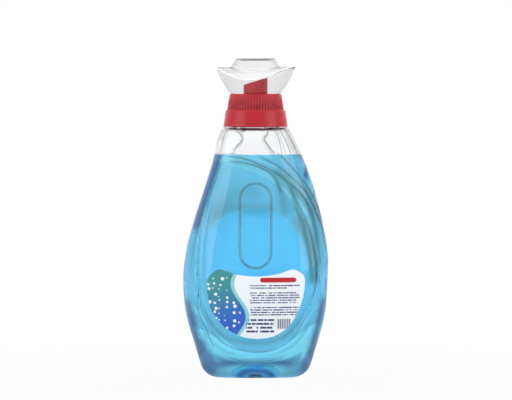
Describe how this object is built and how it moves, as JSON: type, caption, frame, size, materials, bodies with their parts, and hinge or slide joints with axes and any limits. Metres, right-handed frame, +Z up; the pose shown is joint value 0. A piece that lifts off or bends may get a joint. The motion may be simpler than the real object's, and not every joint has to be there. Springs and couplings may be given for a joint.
{
  "type": "laundry detergent bottle",
  "caption": "Clear blown bottle of blue laundry detergent with a ribbed red screw collar, a slanted pour spout and a clear dosing ball for a cap.",
  "frame": {"origin": "on the ground at the middle of the foot, under the neck axis", "axes": "+Z up along the neck axis, X along the bottle's width with the bulging flank at +X, -Y out of the back label, which is the side pictured"},
  "size_m": [0.1263, 0.0709, 0.2766],
  "materials": {
    "clear_bottle": "clear blown polyester, glossy",
    "blue_detergent": "transparent sky blue liquid, still",
    "label_film": "white printed film, satin",
    "red_plastic": "moulded red polypropylene, soft gloss",
    "clear_ball": "clear moulded polypropylene, glossy"
  },
  "bodies": {
    "bottle_body": {"bottle": "clear_bottle", "detergent": "blue_detergent", "front_label": "label_film", "back_label": "label_film"},
    "spout_body": {"pour_spout": "red_plastic"},
    "closure_body": {"closure": "red_plastic"},
    "ball_body": {"dosing_ball": "clear_ball"}
  },
  "joints": [
    {"name": "spout_rise", "type": "slide", "parent": "bottle_body", "child": "spout_body", "axis": [0, 0, 1], "range_m": [0, 0.0091]},
    {"name": "closure_turn", "type": "hinge", "parent": "spout_body", "child": "closure_body", "pos_m": [0, 0, 0.2315], "axis": [0, 0, 1], "range_deg": [0, 540]},
    {"name": "ball_lift", "type": "slide", "parent": "closure_body", "child": "ball_body", "axis": [0, 0, 1], "range_m": [0, 0.045]}
  ],
  "couplings": [
    {"joint": "spout_rise", "follows": "closure_turn", "m_per_rad": 0.00095493}
  ]
}
